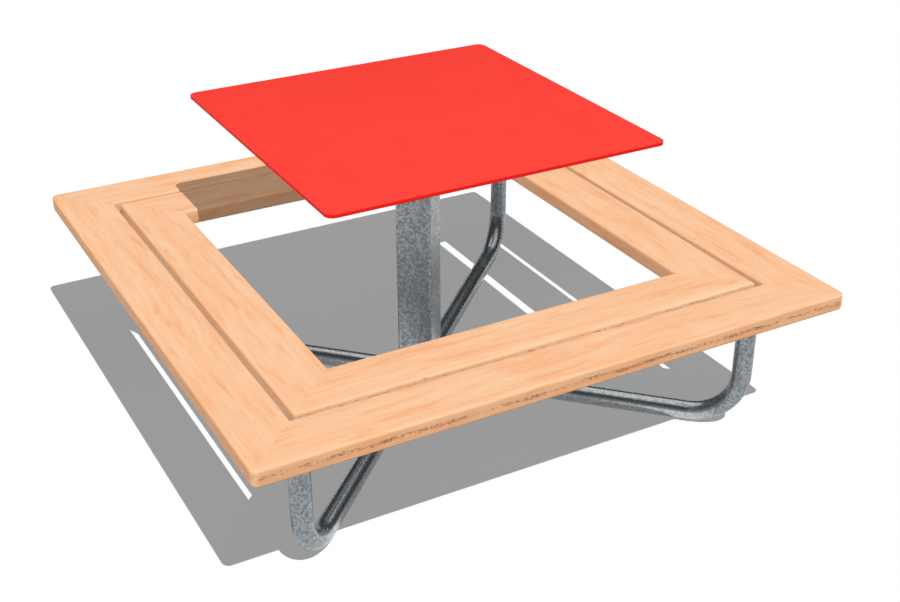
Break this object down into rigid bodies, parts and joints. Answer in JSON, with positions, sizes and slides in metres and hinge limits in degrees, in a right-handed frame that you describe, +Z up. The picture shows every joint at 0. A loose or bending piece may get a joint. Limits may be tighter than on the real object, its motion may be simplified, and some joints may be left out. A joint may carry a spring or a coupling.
{
  "type": "kids picnic table",
  "caption": "Square children's table: thin red laminate top on a galvanised post, ringed by a mitred wooden bench on bent tubes that start at the post's foot.",
  "frame": {"origin": "on the ground, under the middle of the post", "axes": "+Z up; +X to the right and -Y to the front, as seen by someone in front of the side that the picture shows nearest"},
  "size_m": [1.3, 1.3, 0.648],
  "materials": {
    "red_laminate": "smooth satin compact laminate, the same red on face and edge",
    "galvanised_steel": "hot-dip galvanised, mottled grey spangle",
    "zinc_plated_steel": "bright zinc plated",
    "wood": "light orange-tan oiled planks, grain along each plank"
  },
  "bodies": {
    "root": {"table_top": "red_laminate", "top_plate": "galvanised_steel", "centre_post": "galvanised_steel", "foot_plate": "galvanised_steel", "leg_tube_front_left": "galvanised_steel", "leg_tube_front_right": "galvanised_steel", "leg_tube_back_right": "galvanised_steel", "leg_tube_back_left": "galvanised_steel", "corner_plate_front_left": "galvanised_steel", "corner_plate_front_right": "galvanised_steel", "corner_plate_back_right": "galvanised_steel", "corner_plate_back_left": "galvanised_steel", "outer_plank_front": "wood", "outer_plank_right": "wood", "outer_plank_back": "wood", "outer_plank_left": "wood", "inner_plank_front": "wood", "inner_plank_right": "wood", "inner_plank_back": "wood", "inner_plank_left": "wood", "top_screw_1": "zinc_plated_steel", "top_screw_2": "zinc_plated_steel", "top_screw_3": "zinc_plated_steel", "top_screw_4": "zinc_plated_steel", "bench_screw_front_left_1": "zinc_plated_steel", "bench_screw_front_left_2": "zinc_plated_steel", "bench_screw_front_left_3": "zinc_plated_steel", "bench_screw_front_left_4": "zinc_plated_steel", "bench_screw_front_left_5": "zinc_plated_steel", "bench_screw_front_left_6": "zinc_plated_steel", "bench_screw_front_left_7": "zinc_plated_steel", "bench_screw_front_left_8": "zinc_plated_steel", "bench_screw_front_right_1": "zinc_plated_steel", "bench_screw_front_right_2": "zinc_plated_steel", "bench_screw_front_right_3": "zinc_plated_steel", "bench_screw_front_right_4": "zinc_plated_steel", "bench_screw_front_right_5": "zinc_plated_steel", "bench_screw_front_right_6": "zinc_plated_steel", "bench_screw_front_right_7": "zinc_plated_steel", "bench_screw_front_right_8": "zinc_plated_steel", "bench_screw_back_right_1": "zinc_plated_steel", "bench_screw_back_right_2": "zinc_plated_steel", "bench_screw_back_right_3": "zinc_plated_steel", "bench_screw_back_right_4": "zinc_plated_steel", "bench_screw_back_right_5": "zinc_plated_steel", "bench_screw_back_right_6": "zinc_plated_steel", "bench_screw_back_right_7": "zinc_plated_steel", "bench_screw_back_right_8": "zinc_plated_steel", "bench_screw_back_left_1": "zinc_plated_steel", "bench_screw_back_left_2": "zinc_plated_steel", "bench_screw_back_left_3": "zinc_plated_steel", "bench_screw_back_left_4": "zinc_plated_steel", "bench_screw_back_left_5": "zinc_plated_steel", "bench_screw_back_left_6": "zinc_plated_steel", "bench_screw_back_left_7": "zinc_plated_steel", "bench_screw_back_left_8": "zinc_plated_steel"}
  },
  "joints": []
}
